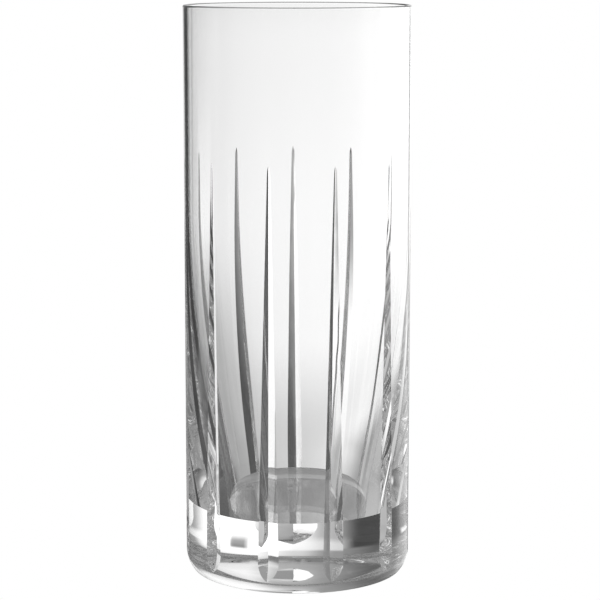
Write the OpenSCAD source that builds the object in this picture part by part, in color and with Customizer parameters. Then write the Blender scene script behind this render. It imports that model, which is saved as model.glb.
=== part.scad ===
// Tall straight-sided collins glass in clear cut crystal, made in one piece.
// A thin wall swells into a thick solid base, and long mitre cuts taper up the wall.

/* [Body] */
// Outside diameter of the straight wall
glass_d = 62; // [56:0.5:70]
// Height from the table to the rim
glass_h = 156; // [135:1:170]
// Thickness of the wall at the rim
rim_wall = 1.15; // [1:0.05:1.6]

/* [Base] */
// Thickness of the solid base under the middle of the floor
base_t = 18.2; // [15:0.1:22]
// Radius of the curve that turns the wall in at the foot
foot_r = 8.5; // [7:0.5:11]
// How far in from the wall that curve meets the table
foot_inset = 2.2; // [1.5:0.1:3]
// Radius of the small round between that curve and the table
foot_edge_r = 0.9; // [0.5:0.1:1.4]
// Radius of the shallow hollow under the base
hollow_r = 20; // [16:0.5:23]
// Depth of the shallow hollow under the base
hollow_depth = 0.5; // [0.3:0.1:1]

/* [Inside] */
// Height where the inside starts to draw in towards the base
swell_h = 100; // [85:1:110]
// Radius of the long curve that thickens the wall
swell_r = 356; // [300:2:420]
// Height of the crease where that curve meets the steep ring round the floor
ring_h = 24.5; // [22.5:0.5:27]
// How far that ring draws in from the crease down to the floor
ring_inset = 1.1; // [0.6:0.1:2]

/* [Cuts] */
// Number of mitre cuts round the wall
cut_count = 11; // [8:1:13]
// Height where the stone starts to leave the upper ends of the cuts
cut_top_h = 113.1; // [95:0.1:125]
// Depth of the cuts at that height
cut_top_depth = 0.24; // [0.15:0.01:0.35]
// Height where the cuts are deepest
cut_deep_h = 9; // [7.5:0.5:14]
// Depth of the cuts where they are deepest
cut_depth = 1.75; // [1:0.05:2.2]
// Angle between the two faces of a cut
cut_angle = 120; // [110:1:126]
// How far the cuts lean over to the left, seen from outside
cut_lean = 5; // [0:0.5:8]
// How far the path of a cut slants to the right as it rises, seen from outside
cut_slant = 0.4; // [0:0.1:1]
// Radius of the stone, which rounds off both ends of the cuts
stone_r = 11; // [9:0.5:14]
// Turn of the first cut from the front at its deepest point, seen from above
cut_turn = -15.5; // [-16:0.1:16]

/* [Hidden] */
$fn = 96;
// The long curve and the base hollow are nearly flat, so they need more sides
flat_curve_fn = 720;
// How far a cutting shape runs past what it cuts
overrun = 2;

wall_r = glass_d / 2;
inside_r = wall_r - rim_wall;
rim_r = rim_wall / 2;

// Centre of the foot's curve, which is tangent to the wall
foot_x = wall_r - foot_r;
foot_z = sqrt(pow(foot_r, 2) - pow(foot_r - foot_inset, 2));
// Centre of the small round, which is tangent to the foot's curve and to the table
edge_x = foot_x + sqrt(pow(foot_r - foot_edge_r, 2) - pow(foot_z - foot_edge_r, 2));
// Direction from that centre to where it runs into the foot's curve
edge_slope = (foot_z - foot_edge_r) / (edge_x - foot_x);
// Radius of the sphere that the base hollow is part of
hollow_curve_r = (pow(hollow_r, 2) + pow(hollow_depth, 2)) / (2 * hollow_depth);

// Centre of the long curve, which is tangent to the straight inside of the wall
swell_x = inside_r - swell_r;
// Where that curve ends at the crease, and its direction from the curve's centre
crease_r = swell_x + sqrt(pow(swell_r, 2) - pow(swell_h - ring_h, 2));
crease_slope = (swell_h - ring_h) / (crease_r - swell_x);
// How far the ring draws in for each millimetre that it drops
ring_slope = ring_inset / (ring_h - base_t);

// A cut deepens steadily from its upper end down to where it is deepest
cut_fall = cut_top_h - cut_deep_h;
cut_tilt = atan((cut_depth - cut_top_depth) / cut_fall);
cut_length = cut_fall / cos(cut_tilt);
vee_h = cut_depth + overrun;
vee_left = vee_h * tan(cut_angle / 2 - cut_lean);
vee_right = vee_h * tan(cut_angle / 2 + cut_lean);
// Sweep of the stone past each end of a cut, enough to lift it clear of the wall
stone_sweep = 60;

// Sections are drawn with the radius along X and the height along Y

// What a round takes off a corner that points right and down: reach is how far the
// corner lies from the centre, and slope how steeply the round's first end drops
module corner_waste(r, reach, slope) {
    difference() {
        polygon([[0, 0], [reach, -reach * slope], [reach, -reach], [0, -reach]]);
        circle(r = r);
    }
}

module outer_section() {
    difference() {
        square([wall_r, glass_h]);
        translate([foot_x, foot_z]) corner_waste(foot_r, foot_r + overrun, 0);
        translate([edge_x, foot_edge_r])
            corner_waste(foot_edge_r, foot_edge_r + overrun, edge_slope);
        translate([0, hollow_depth - hollow_curve_r])
            circle(r = hollow_curve_r, $fn = flat_curve_fn);
    }
}

// Glass left inside by the long curve, from the straight wall down to the crease
module swell_section() {
    reach = swell_r + overrun;
    translate([swell_x, swell_h])
        difference() {
            polygon([[0, 0], [reach, 0], [reach, -reach * crease_slope]]);
            circle(r = swell_r, $fn = flat_curve_fn);
        }
}

// Glass left inside by the ring, from the crease down past the floor
module ring_section() {
    drop = ring_h - base_t + overrun;
    translate([crease_r, ring_h])
        polygon([[0, 0], [wall_r, wall_r], [wall_r, -drop], [-ring_slope * drop, -drop]]);
}

module inner_section() {
    difference() {
        translate([0, base_t]) square([inside_r, glass_h]);
        swell_section();
        ring_section();
    }
}

// What the full round at the rim takes off the top of the wall
module rim_waste() {
    translate([wall_r - rim_r, glass_h - rim_r])
        difference() {
            translate([-rim_wall, 0]) square([2 * rim_wall, rim_wall]);
            circle(r = rim_r);
        }
}

module glass_section() {
    difference() {
        outer_section();
        inner_section();
        rim_waste();
    }
}

// Edge of the cutting stone, with its point at the bottom of the cut
module vee_section() {
    polygon([[0, 0], [vee_h, -vee_left], [vee_h, vee_right]]);
}

// The curve that the stone leaves at an end of a cut: dir is -1 at the lower end
module stone_end(dir) {
    translate([stone_r, 0, 0]) rotate([90, 0, 0]) rotate([0, 0, 180])
        rotate_extrude(angle = -dir * stone_sweep)
            translate([stone_r, 0]) mirror([1, 0]) vee_section();
}

// The stone's path: a tapering groove that ends in the curve of the stone itself
module cut_shape() {
    translate([wall_r - cut_depth, 0, cut_deep_h]) rotate([-cut_slant, cut_tilt, 0]) {
        linear_extrude(height = cut_length) vee_section();
        stone_end(-1);
        translate([0, 0, cut_length]) stone_end(1);
    }
}

module tumbler() {
    color([0.86, 0.9, 0.92, 0.45])
        difference() {
            rotate_extrude() glass_section();
            for (i = [0 : cut_count - 1])
                rotate([0, 0, cut_turn - 90 + i * 360 / cut_count]) cut_shape();
        }
}

tumbler();
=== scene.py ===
"""Collins glass in clear cut crystal: a thin straight wall that swells into a thick solid base, with
long mitre cuts that taper up the wall, cut out on white and lit by panels and cards."""

import math

import bpy
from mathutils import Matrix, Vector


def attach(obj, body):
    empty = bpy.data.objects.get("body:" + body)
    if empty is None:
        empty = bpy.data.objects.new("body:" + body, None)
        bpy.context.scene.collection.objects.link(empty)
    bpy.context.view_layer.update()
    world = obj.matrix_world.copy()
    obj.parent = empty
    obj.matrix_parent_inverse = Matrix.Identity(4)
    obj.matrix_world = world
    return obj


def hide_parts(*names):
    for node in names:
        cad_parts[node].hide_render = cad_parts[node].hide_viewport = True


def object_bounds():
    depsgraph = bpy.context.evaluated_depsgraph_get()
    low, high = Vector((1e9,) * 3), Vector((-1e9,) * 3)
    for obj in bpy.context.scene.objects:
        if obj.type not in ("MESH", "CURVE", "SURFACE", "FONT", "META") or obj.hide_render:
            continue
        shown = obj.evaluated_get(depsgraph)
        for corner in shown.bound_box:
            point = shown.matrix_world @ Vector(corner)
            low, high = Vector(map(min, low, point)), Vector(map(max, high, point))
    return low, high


bl_info = {
    "name": "Collins Glass",
    "version": (1, 0, 0),
    "blender": (4, 5, 0),
    "location": "3D View > Sidebar > Collins Glass",
    "description": "Models a cut crystal collins glass and a plain studio round it",
    "category": "Add Mesh",
}

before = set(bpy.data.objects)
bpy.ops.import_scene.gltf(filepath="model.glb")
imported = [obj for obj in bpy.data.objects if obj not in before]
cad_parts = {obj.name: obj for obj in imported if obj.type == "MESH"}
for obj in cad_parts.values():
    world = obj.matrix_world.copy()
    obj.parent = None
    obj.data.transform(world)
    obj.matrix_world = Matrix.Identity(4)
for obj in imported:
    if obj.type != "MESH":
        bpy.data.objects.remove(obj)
cad_low, cad_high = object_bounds()

MM = 0.001
BODY = "root"
NODE = "tumbler"
# The tint of colourless glass, and the white that the glass is cut out on
WHITE = "#FFFFFF"

# Steps that each curve of the section is drawn in
HOLLOW_STEPS = 10
EDGE_STEPS = 6
FOOT_STEPS = 16
RIM_STEPS = 16
SWELL_STEPS = 24
# Sweep of the stone past each end of a cut, enough to lift it clear of the wall, and its steps
STONE_SWEEP = math.radians(60)
STONE_STEPS = 32
# How far a cutting shape runs past what it cuts
OVERRUN = 2 * MM
# Points nearer than this are merged, in the body and in the finer cutting shapes
WELD = MM / 200
CUT_WELD = MM / 1000
# Faces that meet at more than this angle keep a sharp edge
SHARP_ANGLE = math.radians(20)
# Turns that a ray may take inside the glass, enough to come out of the cuts again
BOUNCES = 64

ROOM_RADIUS = 15
# The painted shade under the glass: a dark disc of table top that glows dimly in place of the glass's
# own shadow. Its size, how far it lies under the base, how bright its painted glow is, and how much it
# mirrors
SHADE_RADIUS = 31 * MM
SHADE_DROP = 0.5 * MM
SHADE_LEVEL = 0.06
SHADE_POLISH = 0.7
# Light of the studio at rising heights in degrees, each round the compass in degrees to the right
# of the back: a backdrop that goes from black at the left to bright at the right, with a lit strip
# beyond the black, a thin dark card in the bright part, a floor that fades downwards and a dim front.
# Bent by the glass, the black and the bright show in the left and the right faces of the front cuts
LIGHT = {
    -70: {-180: 0.2, 180: 0.2},
    -31: {-180: 0.1, -25: 0.05, -17: 0.4, 20: 0.4, 46: 0.6, 75: 0.6, 82: 0.1, 180: 0.1},
    -25: {
        -180: 0.3, -90: 0.1, -20: 0.06, -16: 0.4, 0: 0.7, 12: 1.1, 45: 1.1, 62: 0.5, 90: 0.1,
        180: 0.3,
    },
    -16: {
        -180: 0.4, -110: 0.3, -60: 0.05, -25: 0.05, -10: 0.45, 0: 1.05, 6: 1.2, 45: 1.2,
        62: 0.5, 90: 0.2, 180: 0.4,
    },
    -7: {
        -180: 0.4, -110: 0.3, -84: 0.1, -79: 1.1, -62: 1.1, -57: 0.05, -22: 0.05, -12: 0.7,
        0: 1.05, 11: 1.6, 17: 1.6, 19: 0.4, 25: 0.4, 27: 1.4, 80: 0.9, 92: 0.3, 180: 0.4,
    },
    -2: {
        -180: 0.4, -110: 0.3, -60: 0.1, -22: 0.05, -12: 0.7, 0: 1.0, 11: 1.6, 17: 1.6,
        19: 0.3, 25: 0.3, 27: 1.4, 80: 0.9, 92: 0.3, 180: 0.4,
    },
    2: {-180: 0.35, -80: 0.3, -35: 0.1, -10: 0.3, 0: 0.7, 14: 1.2, 45: 1.2, 60: 0.4, 180: 0.35},
    25: {-180: 0.35, -80: 0.3, -35: 0.12, 8: 0.45, 20: 0.9, 40: 0.9, 60: 0.4, 180: 0.35},
    75: {-180: 0.2, 180: 0.2},
}


def linear(colour):
    """The linear values of a colour given as sRGB hex."""
    parts = [int(colour[i : i + 2], 16) / 255 for i in (1, 3, 5)]
    return [part / 12.92 if part <= 0.04045 else ((part + 0.055) / 1.055) ** 2.4 for part in parts]


class GlassSizes(bpy.types.PropertyGroup):
    """Sizes of the turned body."""

    wall_radius: bpy.props.FloatProperty(
        name="Wall radius",
        description="Radius of the straight outside wall",
        default=(cad_high.x - cad_low.x) / 2,
        unit="LENGTH",
    )
    height: bpy.props.FloatProperty(
        name="Height",
        description="Height from the table to the rim",
        default=cad_high.z,
        unit="LENGTH",
    )
    rim_wall: bpy.props.FloatProperty(
        name="Rim wall",
        description="Thickness of the wall at the rim",
        default=1.15 * MM,
        unit="LENGTH",
    )
    base_thickness: bpy.props.FloatProperty(
        name="Base thickness",
        description="Thickness of the solid base under the middle of the floor",
        default=18.2 * MM,
        unit="LENGTH",
    )
    foot_radius: bpy.props.FloatProperty(
        name="Foot radius",
        description="Radius of the curve that turns the wall in at the foot",
        default=8.5 * MM,
        unit="LENGTH",
    )
    foot_inset: bpy.props.FloatProperty(
        name="Foot inset",
        description="How far in from the wall that curve meets the table",
        default=2.2 * MM,
        unit="LENGTH",
    )
    foot_edge_radius: bpy.props.FloatProperty(
        name="Foot edge radius",
        description="Radius of the small round between that curve and the table",
        default=0.9 * MM,
        unit="LENGTH",
    )
    hollow_radius: bpy.props.FloatProperty(
        name="Hollow radius",
        description="Radius of the shallow hollow under the base",
        default=20 * MM,
        unit="LENGTH",
    )
    hollow_depth: bpy.props.FloatProperty(
        name="Hollow depth",
        description="Depth of the shallow hollow under the base",
        default=0.5 * MM,
        unit="LENGTH",
    )
    swell_height: bpy.props.FloatProperty(
        name="Swell height",
        description="Height where the inside starts to draw in towards the base",
        default=100 * MM,
        unit="LENGTH",
    )
    swell_radius: bpy.props.FloatProperty(
        name="Swell radius",
        description="Radius of the long curve that thickens the wall",
        default=356 * MM,
        unit="LENGTH",
    )
    ring_height: bpy.props.FloatProperty(
        name="Ring height",
        description="Height of the crease where the long curve meets the steep ring round the floor",
        default=24.5 * MM,
        unit="LENGTH",
    )
    ring_inset: bpy.props.FloatProperty(
        name="Ring inset",
        description="How far that ring draws in from the crease down to the floor",
        default=1.1 * MM,
        unit="LENGTH",
    )
    columns: bpy.props.IntProperty(
        name="Columns",
        description="Columns of faces round the body",
        default=704,
        min=48,
    )


class CutSizes(bpy.types.PropertyGroup):
    """Sizes of the mitre cuts."""

    count: bpy.props.IntProperty(
        name="Count", description="Number of cuts round the wall", default=11, min=3
    )
    top_height: bpy.props.FloatProperty(
        name="Top height",
        description="Height where the stone starts to leave the upper ends of the cuts",
        default=113.1 * MM,
        unit="LENGTH",
    )
    top_depth: bpy.props.FloatProperty(
        name="Top depth",
        description="Depth of the cuts at that height",
        default=0.24 * MM,
        unit="LENGTH",
    )
    deep_height: bpy.props.FloatProperty(
        name="Deep height",
        description="Height where the cuts are deepest",
        default=9 * MM,
        unit="LENGTH",
    )
    depth: bpy.props.FloatProperty(
        name="Depth",
        description="Depth of the cuts where they are deepest",
        default=1.75 * MM,
        unit="LENGTH",
    )
    angle: bpy.props.FloatProperty(
        name="Angle",
        description="Angle between the two faces of a cut",
        default=math.radians(120),
        subtype="ANGLE",
    )
    lean: bpy.props.FloatProperty(
        name="Lean",
        description="How far the cuts lean over to the left, seen from outside",
        default=math.radians(5),
        subtype="ANGLE",
    )
    slant: bpy.props.FloatProperty(
        name="Slant",
        description="How far the path of a cut slants to the right as it rises, seen from outside",
        default=math.radians(0.4),
        subtype="ANGLE",
    )
    stone_radius: bpy.props.FloatProperty(
        name="Stone radius",
        description="Radius of the stone, which rounds off both ends of the cuts",
        default=11 * MM,
        unit="LENGTH",
    )
    turn: bpy.props.FloatProperty(
        name="Turn",
        description="Turn of the first cut from the front at its deepest point, seen from above",
        default=math.radians(-15.5),
        subtype="ANGLE",
    )


class CrystalLooks(bpy.types.PropertyGroup):
    """How the crystal glass looks."""

    colour: bpy.props.FloatVectorProperty(
        name="Colour",
        description="Tint of the glass, white where it is colourless",
        default=linear(WHITE),
        subtype="COLOR",
    )
    refraction: bpy.props.FloatProperty(
        name="Refraction", description="Index of refraction of the glass", default=1.53
    )


class StudioLooks(bpy.types.PropertyGroup):
    """Where the camera stands and how it looks."""

    camera_distance: bpy.props.FloatProperty(
        name="Camera distance",
        description="How far in front of the glass's axis the camera stands",
        default=600 * MM,
        unit="LENGTH",
    )
    camera_height: bpy.props.FloatProperty(
        name="Camera height",
        description="Height of the camera above the table",
        default=171.5 * MM,
        unit="LENGTH",
    )
    camera_tilt: bpy.props.FloatProperty(
        name="Camera tilt",
        description="How far the camera looks down",
        default=math.radians(9.116),
        subtype="ANGLE",
    )
    camera_lens: bpy.props.FloatProperty(
        name="Camera lens", description="Focal length in millimetres", default=132.23
    )
    camera_shift: bpy.props.FloatProperty(
        name="Camera shift",
        description="Sideways shift of the frame, as a share of its width",
        default=0.0044,
    )


def deselect_all():
    """Leaves no object selected, because an operator acts on all that is."""
    if bpy.context.object and bpy.context.object.mode != "OBJECT":
        bpy.ops.object.mode_set(mode="OBJECT")
    bpy.ops.object.select_all(action="DESELECT")


def start_outline(name, x, z):
    """A new mesh object in edit mode that holds one point, at x, z in the XZ plane."""
    deselect_all()
    bpy.ops.mesh.primitive_plane_add(size=MM, location=(0, 0, 0))
    outline = bpy.context.object
    outline.name = outline.data.name = name
    bpy.ops.object.mode_set(mode="EDIT")
    bpy.ops.mesh.merge(type="CENTER")
    bpy.ops.transform.translate(value=(x, 0, z))
    return outline


def line_by(x, z):
    """Draws a straight line from the outline's last point."""
    bpy.ops.mesh.extrude_vertices_move(TRANSFORM_OT_translate={"value": (x, 0, z)})


def arc_about(x, z, angle, steps):
    """Draws an arc from the outline's last point round x, z: anticlockwise, seen from the front."""
    bpy.ops.mesh.spin(
        steps=steps, angle=angle, center=(x, 0, z), axis=(0, 1, 0), use_auto_merge=False
    )


def link_to_scene(piece):
    """Puts an object into the scene."""
    bpy.context.scene.collection.objects.link(piece)


def add_node(tree, kind, settings=None, inputs=None):
    """A node with its settings, and with each input, by name or number, set to a value or linked."""
    node = tree.nodes.new(kind)
    for name, value in (settings or {}).items():
        setattr(node, name, value)
    for name, value in (inputs or {}).items():
        if isinstance(value, bpy.types.NodeSocket):
            tree.links.new(value, node.inputs[name])
        else:
            node.inputs[name].default_value = value
    return node


def grey(level):
    """A light level as the colour that a socket takes."""
    return (level, level, level, 1)


class GLASS_OT_tumbler(bpy.types.Operator):
    """Turn the body of the glass, grind its cuts and polish it"""

    bl_idname = "glass.tumbler"
    bl_label = "Tumbler"

    def execute(self, context):
        sizes = context.scene.glass_sizes
        looks = context.scene.glass_crystal
        glass = turn_body(sizes)
        glass.data.materials.append(fire_polished_crystal(looks))
        cutters = cut_shapes(sizes, context.scene.glass_cuts)
        cutters.data.materials.append(acid_polished_crystal(looks))
        grind(glass, cutters)
        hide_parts(NODE)
        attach(glass, BODY)
        return {"FINISHED"}


def turn_body(sizes):
    """The whole glass without its cuts: half its section, spun about the axis."""
    wall = sizes.wall_radius
    inside = wall - sizes.rim_wall
    rim = sizes.rim_wall / 2
    foot, edge = sizes.foot_radius, sizes.foot_edge_radius
    foot_x = wall - foot
    foot_z = math.sqrt(foot**2 - (foot - sizes.foot_inset) ** 2)
    edge_x = foot_x + math.sqrt((foot - edge) ** 2 - (foot_z - edge) ** 2)
    foot_angle = math.atan2(foot_z - edge, edge_x - foot_x)
    hollow_curve = (sizes.hollow_radius**2 + sizes.hollow_depth**2) / (2 * sizes.hollow_depth)
    swell_x = inside - sizes.swell_radius
    swell_angle = math.asin((sizes.swell_height - sizes.ring_height) / sizes.swell_radius)
    floor_x = swell_x + sizes.swell_radius * math.cos(swell_angle) - sizes.ring_inset

    glass = start_outline("crystal_tumbler", 0, sizes.hollow_depth)
    arc_about(
        0,
        sizes.hollow_depth - hollow_curve,
        -math.asin(sizes.hollow_radius / hollow_curve),
        HOLLOW_STEPS,
    )
    line_by(edge_x - sizes.hollow_radius, 0)
    arc_about(edge_x, edge, math.pi / 2 - foot_angle, EDGE_STEPS)
    arc_about(foot_x, foot_z, foot_angle, FOOT_STEPS)
    line_by(0, sizes.height - rim - foot_z)
    arc_about(wall - rim, sizes.height - rim, math.pi, RIM_STEPS)
    line_by(0, sizes.swell_height - sizes.height + rim)
    arc_about(swell_x, sizes.swell_height, -swell_angle, SWELL_STEPS)
    line_by(-sizes.ring_inset, sizes.base_thickness - sizes.ring_height)
    line_by(-floor_x, 0)
    bpy.ops.object.mode_set(mode="OBJECT")
    turn = glass.modifiers.new("turn", "SCREW")
    turn.axis = "Z"
    turn.angle = 2 * math.pi
    turn.steps = turn.render_steps = sizes.columns
    turn.use_merge_vertices = True
    turn.merge_threshold = WELD
    bpy.ops.object.modifier_apply(modifier=turn.name)
    bpy.ops.object.mode_set(mode="EDIT")
    bpy.ops.mesh.select_all(action="SELECT")
    bpy.ops.mesh.remove_doubles(threshold=WELD)
    bpy.ops.mesh.normals_make_consistent(inside=False)
    bpy.ops.object.mode_set(mode="OBJECT")
    return glass


def cut_shapes(sizes, cuts):
    """The paths of the stone in one mesh: tapering vees, with the stone's curve at both ends."""
    vee_height = cuts.depth + OVERRUN
    left, right = (vee_height * math.tan(cuts.angle / 2 + lean) for lean in (-cuts.lean, cuts.lean))
    rise = cuts.top_height - cuts.deep_height
    tilt = math.atan((cuts.depth - cuts.top_depth) / rise)
    length = rise / math.cos(tilt)
    deselect_all()
    bpy.ops.mesh.primitive_circle_add(vertices=3, radius=1, fill_type="NGON")
    vee = bpy.context.object
    vee.name = vee.data.name = "cut_path"
    corners = ((0, 0), (vee_height, -left), (vee_height, right))
    for vertex, corner in zip(vee.data.vertices, corners):
        vertex.co = (*corner, 0)
    bpy.ops.object.mode_set(mode="EDIT")
    bpy.ops.mesh.select_mode(type="FACE")
    bpy.ops.mesh.select_all(action="SELECT")
    stone_curve(cuts, 0, -STONE_SWEEP)
    bpy.ops.mesh.select_all(action="DESELECT")
    bpy.ops.object.mode_set(mode="OBJECT")
    # The first vee is the only face that lies level at height 0
    for polygon in vee.data.polygons:
        polygon.select = all(abs(vee.data.vertices[i].co.z) < WELD for i in polygon.vertices)
    bpy.ops.object.mode_set(mode="EDIT")
    bpy.ops.mesh.extrude_region_move(TRANSFORM_OT_translate={"value": (0, 0, length)})
    stone_curve(cuts, length, STONE_SWEEP)
    bpy.ops.mesh.select_all(action="SELECT")
    bpy.ops.mesh.remove_doubles(threshold=CUT_WELD)
    bpy.ops.mesh.normals_make_consistent(inside=False)
    bpy.ops.object.mode_set(mode="OBJECT")
    vee.rotation_euler = (-cuts.slant, tilt, 0)
    vee.location = (sizes.wall_radius - cuts.depth, 0, cuts.deep_height)
    bpy.ops.object.transform_apply(location=True, rotation=True, scale=False)
    copies = []
    for i in range(cuts.count):
        copy = vee.copy()
        copy.data = vee.data.copy()
        copy.name = f"cut_path_{i + 1}"
        copy.rotation_euler = (0, 0, cuts.turn + 2 * math.pi * i / cuts.count - math.pi / 2)
        link_to_scene(copy)
        copies.append(copy)
    bpy.data.objects.remove(vee)
    deselect_all()
    for copy in copies:
        copy.select_set(True)
    bpy.context.view_layer.objects.active = copies[0]
    bpy.ops.object.transform_apply(location=False, rotation=True, scale=False)
    bpy.ops.object.join()
    return bpy.context.object


def stone_curve(cuts, height, angle):
    """Carries the selected vee round the stone, whose middle is level with the height."""
    bpy.ops.mesh.spin(
        steps=STONE_STEPS,
        angle=angle,
        center=(cuts.stone_radius, 0, height),
        axis=(0, -1, 0),
        use_auto_merge=False,
    )


def grind(glass, cutters):
    """Takes the cuts out of the glass and finishes its shading."""
    deselect_all()
    glass.select_set(True)
    bpy.context.view_layer.objects.active = glass
    cut = glass.modifiers.new("cuts", "BOOLEAN")
    cut.operation = "DIFFERENCE"
    cut.solver = "EXACT"
    cut.object = cutters
    cut.material_mode = "TRANSFER"
    bpy.ops.object.modifier_apply(modifier=cut.name)
    bpy.data.objects.remove(cutters)
    bpy.ops.object.shade_smooth_by_angle(angle=SHARP_ANGLE)
    even = glass.modifiers.new("even_normals", "WEIGHTED_NORMAL")
    even.mode = "FACE_AREA"
    even.keep_sharp = True
    bpy.ops.object.modifier_apply(modifier=even.name)


def clear_crystal(name, looks):
    """Crystal glass: clear, colourless and smooth, so the eye sees only what it bends and mirrors."""
    material = bpy.data.materials.new(name)
    material.use_nodes = True
    shader = material.node_tree.nodes["Principled BSDF"]
    shader.inputs["Base Color"].default_value = (*looks.colour, 1)
    shader.inputs["Roughness"].default_value = 0.0
    shader.inputs["IOR"].default_value = looks.refraction
    shader.inputs["Transmission Weight"].default_value = 1.0
    return material


def ripple(material, lengths, depth):
    """Gives a surface soft ripples of a length along each axis of the object, and of a depth."""
    tree = material.node_tree
    place = add_node(tree, "ShaderNodeTexCoord").outputs["Object"]
    scale = [1 / length for length in lengths]
    stretch = add_node(tree, "ShaderNodeMapping", inputs={"Vector": place, "Scale": scale})
    noise = add_node(
        tree,
        "ShaderNodeTexNoise",
        inputs={"Vector": stretch.outputs["Vector"], "Scale": 1.0, "Detail": 0.0},
    )
    bump = add_node(
        tree,
        "ShaderNodeBump",
        inputs={"Height": noise.outputs["Fac"], "Distance": depth, "Strength": 1.0},
    )
    tree.links.new(bump.outputs["Normal"], tree.nodes["Principled BSDF"].inputs["Normal"])


def fire_polished_crystal(looks):
    """The wall as it left the furnace, melted smooth."""
    material = clear_crystal("fire_polished_crystal", looks)
    # Long faint streaks where the glass was drawn up, which make lines seen through it waver a little
    ripple(material, lengths=(6 * MM, 6 * MM, 60 * MM), depth=0.03 * MM)
    return material


def acid_polished_crystal(looks):
    """The faces of the cuts, ground with a stone and dipped in acid."""
    material = clear_crystal("acid_polished_crystal", looks)
    # The acid leaves them as bright as the wall but softly rippled, which breaks up their glints
    ripple(material, lengths=(3 * MM, 3 * MM, 6 * MM), depth=0.04 * MM)
    return material


class GLASS_OT_studio(bpy.types.Operator):
    """Set a camera in front of the glass, and the light of panels and cards all round it"""

    bl_idname = "glass.studio"
    bl_label = "Studio"

    def execute(self, context):
        place_camera(context.scene.glass_studio)
        place_room()
        place_shade()
        light_world()
        context.scene.view_settings.view_transform = "Standard"
        cycles = context.scene.cycles
        cycles.max_bounces = BOUNCES
        cycles.transmission_bounces = BOUNCES
        cycles.glossy_bounces = BOUNCES
        return {"FINISHED"}


def place_camera(looks):
    """The camera, in front of the glass and a little above its rim."""
    data = bpy.data.cameras.new("camera")
    camera = bpy.data.objects.new("camera", data)
    link_to_scene(camera)
    camera.location = (0, -looks.camera_distance, looks.camera_height)
    camera.rotation_euler = (math.pi / 2 - looks.camera_tilt, 0, 0)
    data.sensor_width = 36
    data.lens = looks.camera_lens
    data.shift_x = looks.camera_shift
    data.clip_start = 10 * MM
    data.clip_end = 50
    bpy.context.scene.camera = camera


def empty_material(name):
    """A material with nothing in its node tree."""
    material = bpy.data.materials.new(name)
    material.use_nodes = True
    material.node_tree.nodes.clear()
    return material


def light_at(tree, compass, levels):
    """The light of one height: levels at compass angles in degrees, blended softly."""
    ramp = add_node(tree, "ShaderNodeValToRGB", inputs={"Fac": compass})
    ramp.color_ramp.interpolation = "EASE"
    stops = ramp.color_ramp.elements
    for i, (degrees, level) in enumerate(levels.items()):
        where = (degrees + 180) / 360
        # A new ramp already has two stops
        stop = stops[i] if i < 2 else stops.new(where)
        stop.position = where
        stop.color = grey(level)
    return ramp.outputs["Color"]


def paint_room(tree):
    """The light of the whole room: each height's light blends softly into the next."""
    middle = add_node(tree, "ShaderNodeTexCoord").outputs["Object"]
    place = add_node(tree, "ShaderNodeSeparateXYZ", inputs={"Vector": middle}).outputs
    turn = add_node(
        tree, "ShaderNodeMath", {"operation": "ARCTAN2"}, {0: place["X"], 1: place["Y"]}
    )
    compass = add_node(
        tree,
        "ShaderNodeMapRange",
        inputs={"Value": turn.outputs["Value"], "From Min": -math.pi, "From Max": math.pi},
    )
    rise = add_node(
        tree, "ShaderNodeMath", {"operation": "DIVIDE"}, {0: place["Z"], 1: ROOM_RADIUS}
    )
    height = add_node(
        tree, "ShaderNodeMath", {"operation": "ARCSINE"}, {0: rise.outputs["Value"]}
    )
    heights = list(LIGHT)
    paint = light_at(tree, compass.outputs["Result"], LIGHT[heights[0]])
    for low, high in zip(heights, heights[1:]):
        share = add_node(
            tree,
            "ShaderNodeMapRange",
            {"interpolation_type": "SMOOTHSTEP"},
            {
                "Value": height.outputs["Value"],
                "From Min": math.radians(low),
                "From Max": math.radians(high),
            },
        )
        # On a Mix node set to colours, inputs 0, 6 and 7 are the factor, A and B
        mix = add_node(
            tree,
            "ShaderNodeMix",
            {"data_type": "RGBA"},
            {
                0: share.outputs["Result"],
                6: paint,
                7: light_at(tree, compass.outputs["Result"], LIGHT[high]),
            },
        )
        paint = mix.outputs[2]
    return paint


def place_room():
    """The studio round the glass, above and below it, painted with the light of its panels and cards."""
    deselect_all()
    bpy.ops.mesh.primitive_uv_sphere_add(segments=64, ring_count=32, radius=ROOM_RADIUS)
    room = bpy.context.object
    room.name = "room"
    room.visible_camera = False
    material = empty_material("panels_and_cards")
    tree = material.node_tree
    light = add_node(
        tree, "ShaderNodeEmission", inputs={"Color": paint_room(tree), "Strength": 1.0}
    )
    add_node(tree, "ShaderNodeOutputMaterial", inputs={"Surface": light.outputs["Emission"]})
    room.data.materials.append(material)


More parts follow.
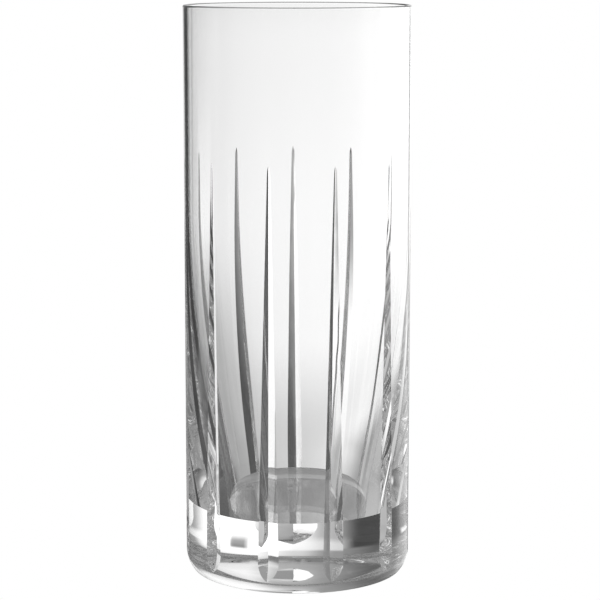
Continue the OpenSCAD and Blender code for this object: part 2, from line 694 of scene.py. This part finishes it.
def place_shade():
    """Painted shade: a dark disc of table top under the glass, in place of the glass's own shadow."""
    deselect_all()
    bpy.ops.mesh.primitive_circle_add(
        vertices=64, radius=SHADE_RADIUS, fill_type="NGON", location=(0, 0, -SHADE_DROP)
    )
    disc = bpy.context.object
    disc.name = "shaded_table"
    disc.visible_camera = False
    material = empty_material("shaded_table_top")
    tree = material.node_tree
    # A polished top that mirrors the room, with a dim painted glow in place of the little light that
    # reaches the shade
    glow = add_node(
        tree, "ShaderNodeEmission", inputs={"Color": grey(SHADE_LEVEL), "Strength": 1.0}
    )
    polish = add_node(
        tree, "ShaderNodeBsdfGlossy", inputs={"Color": grey(SHADE_POLISH), "Roughness": 0.05}
    )
    both = add_node(
        tree, "ShaderNodeAddShader", inputs={0: polish.outputs["BSDF"], 1: glow.outputs["Emission"]}
    )
    add_node(tree, "ShaderNodeOutputMaterial", inputs={"Surface": both.outputs["Shader"]})
    disc.data.materials.append(material)


def light_world():
    """Plain white, which is all that the camera sees round the glass."""
    world = bpy.data.worlds.new("cut_out_white")
    bpy.context.scene.world = world
    world.use_nodes = True
    background = world.node_tree.nodes["Background"]
    background.inputs["Color"].default_value = (*linear(WHITE), 1)
    background.inputs["Strength"].default_value = 1.0


class GLASS_PT_panel(bpy.types.Panel):
    """The sidebar panel that lists the steps."""

    bl_idname = "GLASS_PT_panel"
    bl_label = "Collins Glass"
    bl_space_type = "VIEW_3D"
    bl_region_type = "UI"
    bl_category = "Collins Glass"

    def draw(self, context):
        for operator in OPERATORS:
            self.layout.operator(operator.bl_idname)


OPERATORS = (GLASS_OT_tumbler, GLASS_OT_studio)
CLASSES = (GlassSizes, CutSizes, CrystalLooks, StudioLooks, *OPERATORS, GLASS_PT_panel)


def register():
    """Adds the classes and their settings to Blender."""
    for cls in CLASSES:
        bpy.utils.register_class(cls)
    bpy.types.Scene.glass_sizes = bpy.props.PointerProperty(type=GlassSizes)
    bpy.types.Scene.glass_cuts = bpy.props.PointerProperty(type=CutSizes)
    bpy.types.Scene.glass_crystal = bpy.props.PointerProperty(type=CrystalLooks)
    bpy.types.Scene.glass_studio = bpy.props.PointerProperty(type=StudioLooks)


def unregister():
    """Takes them away again."""
    del bpy.types.Scene.glass_studio
    del bpy.types.Scene.glass_crystal
    del bpy.types.Scene.glass_cuts
    del bpy.types.Scene.glass_sizes
    for cls in reversed(CLASSES):
        bpy.utils.unregister_class(cls)


def main():
    register()
    bpy.ops.glass.studio()
    bpy.ops.glass.tumbler()


if __name__ == "__main__":
    main()
